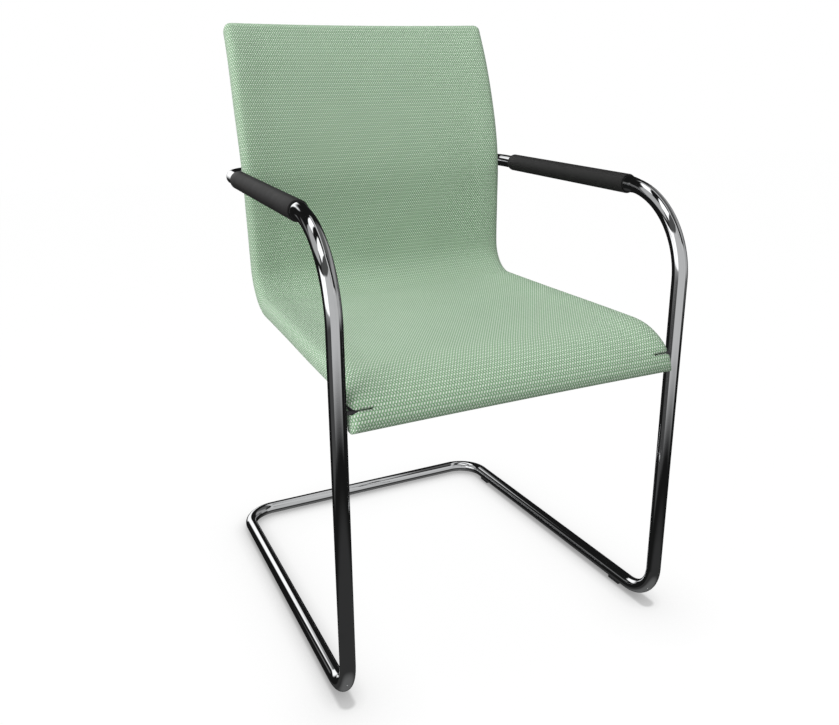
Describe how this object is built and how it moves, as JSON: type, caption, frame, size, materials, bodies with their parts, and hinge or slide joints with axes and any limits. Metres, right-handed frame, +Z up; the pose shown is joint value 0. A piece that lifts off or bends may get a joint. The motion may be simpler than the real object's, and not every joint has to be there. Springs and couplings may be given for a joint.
{
  "type": "cantilever armchair",
  "caption": "Upholstered cantilever armchair: bent chrome tube frame, one curved seat-and-back shell in light green knit, dark arm sleeves.",
  "frame": {"origin": "on the floor, at the centre of the bounding box seen from above", "axes": "+Z up, -Y the way the chair faces, +X to the right seen from the front"},
  "size_m": [0.547, 0.6701, 0.9493],
  "materials": {
    "chrome_tube": "polished chrome plate",
    "knit_cover": "light green melange knit",
    "foam": "cut polyurethane foam",
    "plywood": "moulded plywood, unfinished",
    "sleeve": "dark grey fine-textured plastic",
    "dark_steel": "dark grey powder coat",
    "zinc_steel": "zinc-plated steel",
    "black_plastic": "black moulded plastic"
  },
  "bodies": {
    "base": {"base_tube": "chrome_tube", "left_front_glide": "black_plastic", "left_rear_glide": "black_plastic", "right_front_glide": "black_plastic", "right_rear_glide": "black_plastic"},
    "seat_and_sides": {"back_foam": "foam", "crossbar_spigot": "zinc_steel", "front_cover": "knit_cover", "front_crossbar": "dark_steel", "left_arm_sleeve": "sleeve", "left_back_saddle": "black_plastic", "left_inner_back_bolt": "zinc_steel", "left_inner_clip_screw": "zinc_steel", "left_inner_tee_nut": "zinc_steel", "left_outer_back_bolt": "zinc_steel", "left_outer_clip_screw": "zinc_steel", "left_outer_tee_nut": "zinc_steel", "left_seat_clip": "dark_steel", "left_side_tube": "chrome_tube", "rear_cover": "knit_cover", "rear_padding": "foam", "right_arm_sleeve": "sleeve", "right_back_saddle": "black_plastic", "right_inner_back_bolt": "zinc_steel", "right_inner_clip_screw": "zinc_steel", "right_inner_tee_nut": "zinc_steel", "right_outer_back_bolt": "zinc_steel", "right_outer_clip_screw": "zinc_steel", "right_outer_tee_nut": "zinc_steel", "right_seat_clip": "dark_steel", "right_side_tube": "chrome_tube", "seat_foam": "foam", "seat_shell": "plywood"}
  },
  "joints": [
    {"name": "springing", "type": "hinge", "parent": "base", "child": "seat_and_sides", "pos_m": [0, -0.22312, 0.025], "axis": [-1, 0, 0], "range_deg": [0, 4], "stiffness_Nm_per_rad": 2650, "springref_deg": -0.57}
  ]
}
